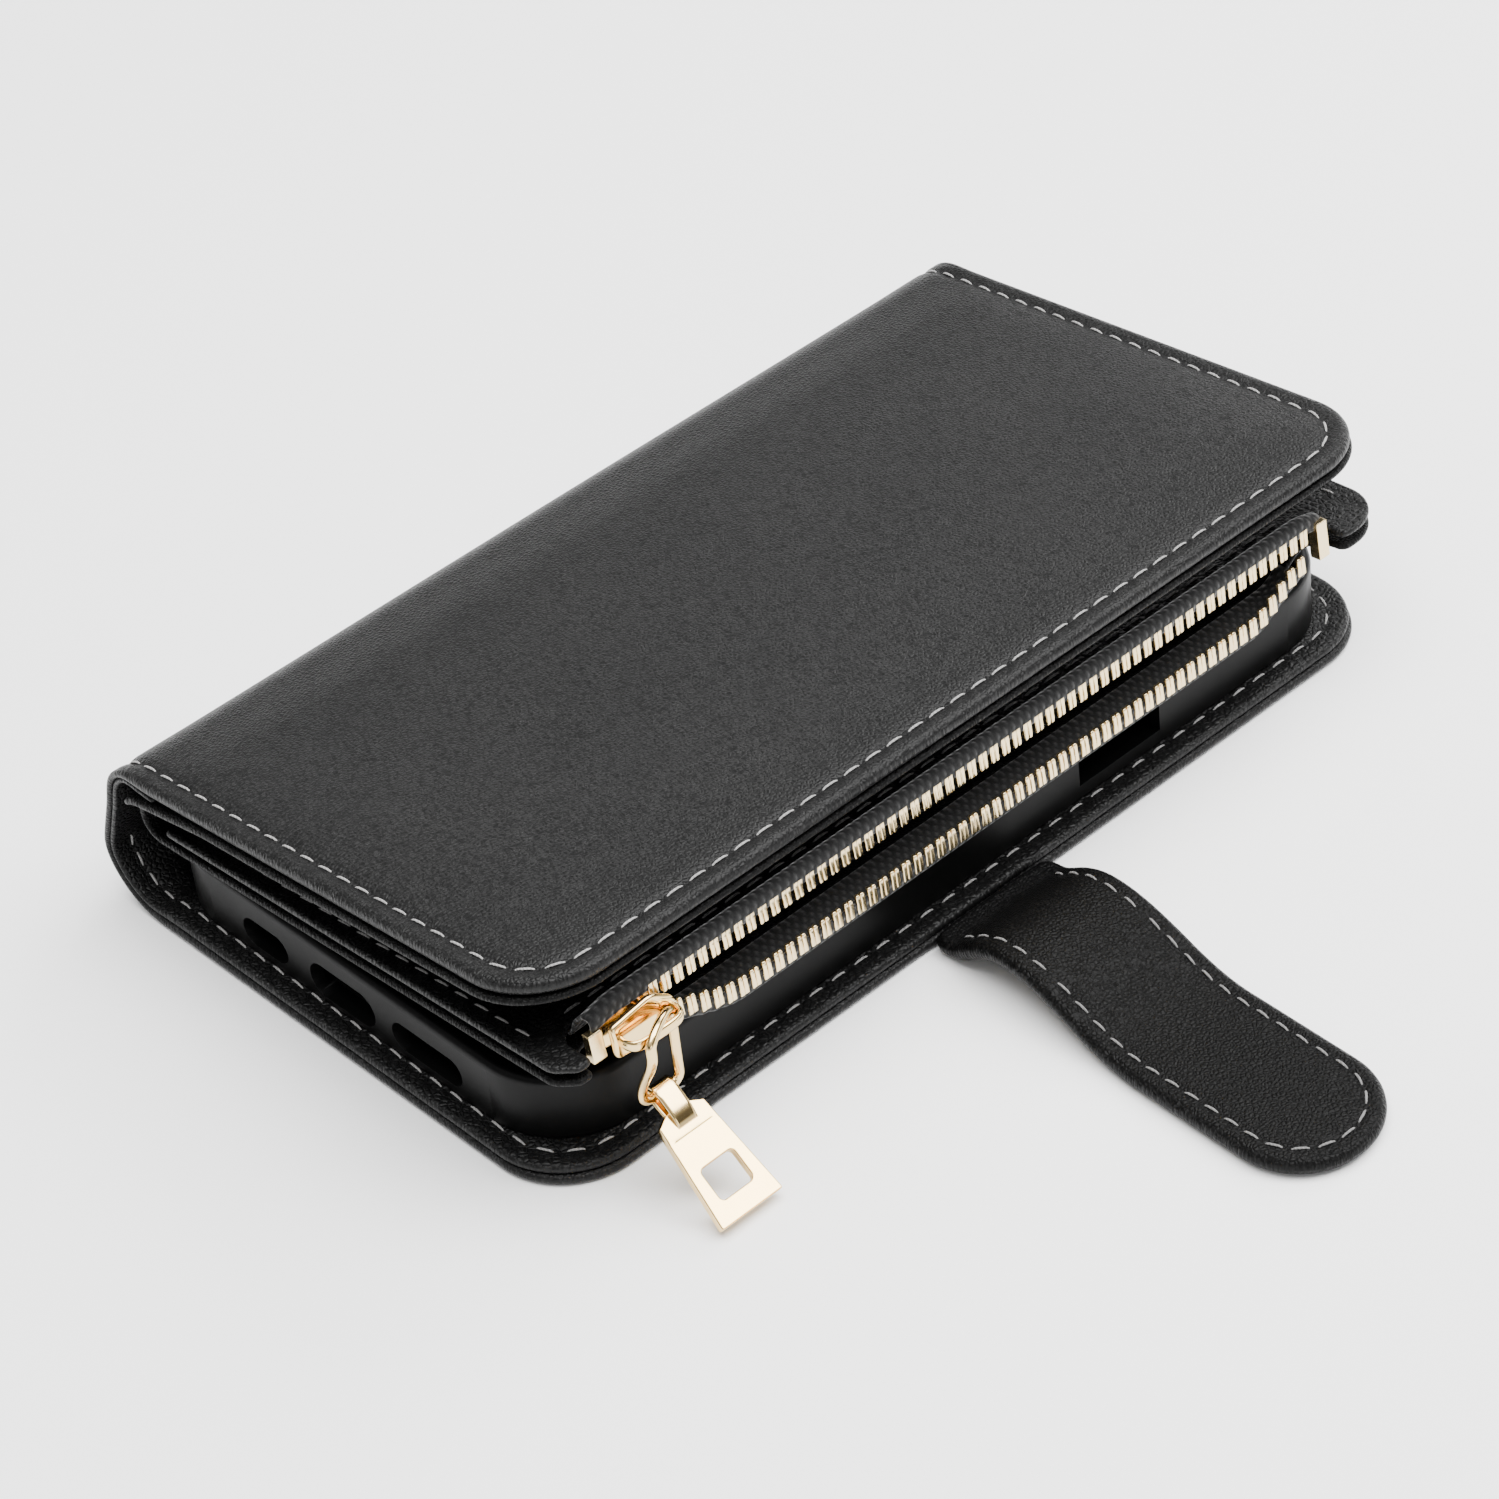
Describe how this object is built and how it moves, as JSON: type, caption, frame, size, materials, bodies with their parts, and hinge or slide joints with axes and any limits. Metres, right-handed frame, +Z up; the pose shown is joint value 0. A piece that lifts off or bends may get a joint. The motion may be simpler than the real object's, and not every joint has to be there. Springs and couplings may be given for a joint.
{
  "type": "phone wallet",
  "caption": "Folio phone wallet with a snap-in phone shell, a page with a zip pocket and a magnetic strap, standing half open.",
  "frame": {"origin": "middle of the back cover's underside, on the surface it rests on", "axes": "+X from the spine towards the zip and the strap, +Y along the spine, +Z up"},
  "size_m": [0.1636, 0.1588, 0.0355],
  "materials": {
    "outer_leather": "pebbled",
    "lining_leather": "pebbled",
    "board": "matt",
    "foam": "matt",
    "phone_shell": "matt",
    "adhesive": "matt",
    "magnet": "satin",
    "pocket_fabric": "woven",
    "zip_tape": "woven",
    "zip_metal": "polished"
  },
  "bodies": {
    "back": {"wrap_leather_back": "outer_leather", "board_back": "board", "lining_back": "lining_leather", "phone_shell": "phone_shell", "shell_adhesive_pad": "adhesive", "strap_root_tongue": "outer_leather"},
    "spine": {"wrap_leather_spine": "outer_leather", "lining_spine": "lining_leather"},
    "front": {"wrap_leather_front": "outer_leather", "lining_front": "lining_leather", "padding_front": "foam", "board_front": "board", "magnet_cover": "magnet", "inner_panel": "lining_leather", "card_pocket_1": "lining_leather", "card_pocket_2": "lining_leather", "card_pocket_3": "lining_leather"},
    "page": {"page_fold": "lining_leather", "page_upper_panel": "lining_leather", "page_lower_panel": "lining_leather", "pocket_lining_lower": "pocket_fabric", "pocket_lining_upper": "pocket_fabric", "zip_teeth_upper": "zip_metal", "zip_teeth_lower": "zip_metal", "zip_tape_upper": "zip_tape", "zip_tape_lower": "zip_tape", "zip_stop_far": "zip_metal", "zip_stop_near": "zip_metal"},
    "slider": {"zip_slider": "zip_metal"},
    "ring": {"pull_ring": "zip_metal"},
    "tab": {"pull_tab": "zip_metal"},
    "strap_root": {"strap_leather_root": "outer_leather", "strap_lining_root": "lining_leather", "strap_filler_root": "lining_leather"},
    "strap_tip": {"strap_leather_tip": "outer_leather", "strap_lining_tip": "lining_leather", "strap_filler_tip": "lining_leather", "magnet_strap": "magnet"}
  },
  "joints": [
    {"name": "spine_hinge", "type": "hinge", "parent": "back", "child": "spine", "pos_m": [-0.0532, 0, 0.00795], "axis": [0, -1, 0], "range_deg": [0, 80]},
    {"name": "cover_hinge", "type": "hinge", "parent": "spine", "child": "front", "pos_m": [-0.0492, 0, 0.0209], "axis": [0, -1, 0], "range_deg": [0, 100]},
    {"name": "page_hinge", "type": "hinge", "parent": "front", "child": "page", "pos_m": [-0.042, 0, 0.018], "axis": [0, -1, 0], "range_deg": [-50, 0]},
    {"name": "zip_slide", "type": "slide", "parent": "page", "child": "slider", "axis": [0, 1, 0], "range_m": [0, 0.108]},
    {"name": "ring_hinge", "type": "hinge", "parent": "slider", "child": "ring", "pos_m": [0.04552, -0.0633, 0.02342], "axis": [0, -1, 0], "range_deg": [0, 90]},
    {"name": "tab_hinge", "type": "hinge", "parent": "ring", "child": "tab", "pos_m": [0.04397, -0.0633, 0.0124], "axis": [0, -1, 0], "range_deg": [-30, 75]},
    {"name": "strap_root_hinge", "type": "hinge", "parent": "back", "child": "strap_root", "pos_m": [0.0455, -0.002, 0.0018], "axis": [0, -1, 0], "range_deg": [0, 75]},
    {"name": "strap_fold_hinge", "type": "hinge", "parent": "strap_root", "child": "strap_tip", "pos_m": [0.0799, -0.0042, 0.0015], "axis": [0, -1, 0], "range_deg": [0, 90]}
  ],
  "couplings": [
    {"joint": "page_hinge", "follows": "cover_hinge", "ratio": -0.5},
    {"joint": "ring_hinge", "follows": "zip_slide", "rad_per_m": 14.5}
  ]
}
